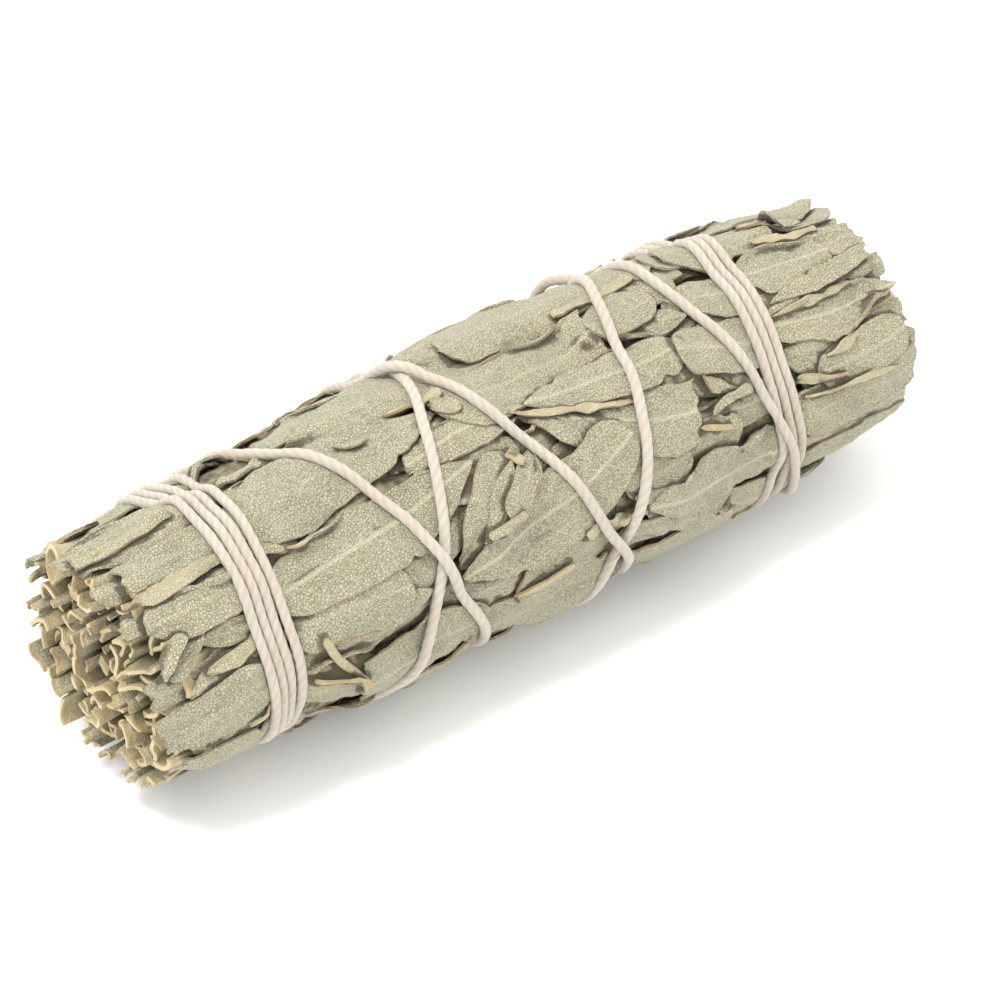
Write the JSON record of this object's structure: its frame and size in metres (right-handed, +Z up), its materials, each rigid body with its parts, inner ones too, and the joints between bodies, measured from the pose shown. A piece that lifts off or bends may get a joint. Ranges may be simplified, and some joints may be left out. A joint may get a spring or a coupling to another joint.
{
  "type": "sage bunch",
  "caption": "Short thick bunch of dried white sage lying on its side, pressed into a roll, cut straight at both ends and bound with off-white cotton twine.",
  "frame": {"origin": "centre of the bunch's bounding box in X and Y, on the surface that it lies on", "axes": "+X along the bunch, with the cut end that faces the viewer at -X; +Z up"},
  "size_m": [0.1057, 0.0373, 0.0354],
  "materials": {
    "sage_leaf": "matte",
    "sage_stem": "matte",
    "cotton_twine": "matte"
  },
  "bodies": {
    "root": {"sprig_1_leaves": "sage_leaf", "sprig_1_stem": "sage_stem", "sprig_2_leaves": "sage_leaf", "sprig_2_stem": "sage_stem", "sprig_3_leaves": "sage_leaf", "sprig_3_stem": "sage_stem", "sprig_4_leaves": "sage_leaf", "sprig_4_stem": "sage_stem", "sprig_5_leaves": "sage_leaf", "sprig_5_stem": "sage_stem", "heart_sprig_leaves": "sage_leaf", "heart_sprig_stem": "sage_stem", "twine": "cotton_twine"}
  },
  "joints": []
}
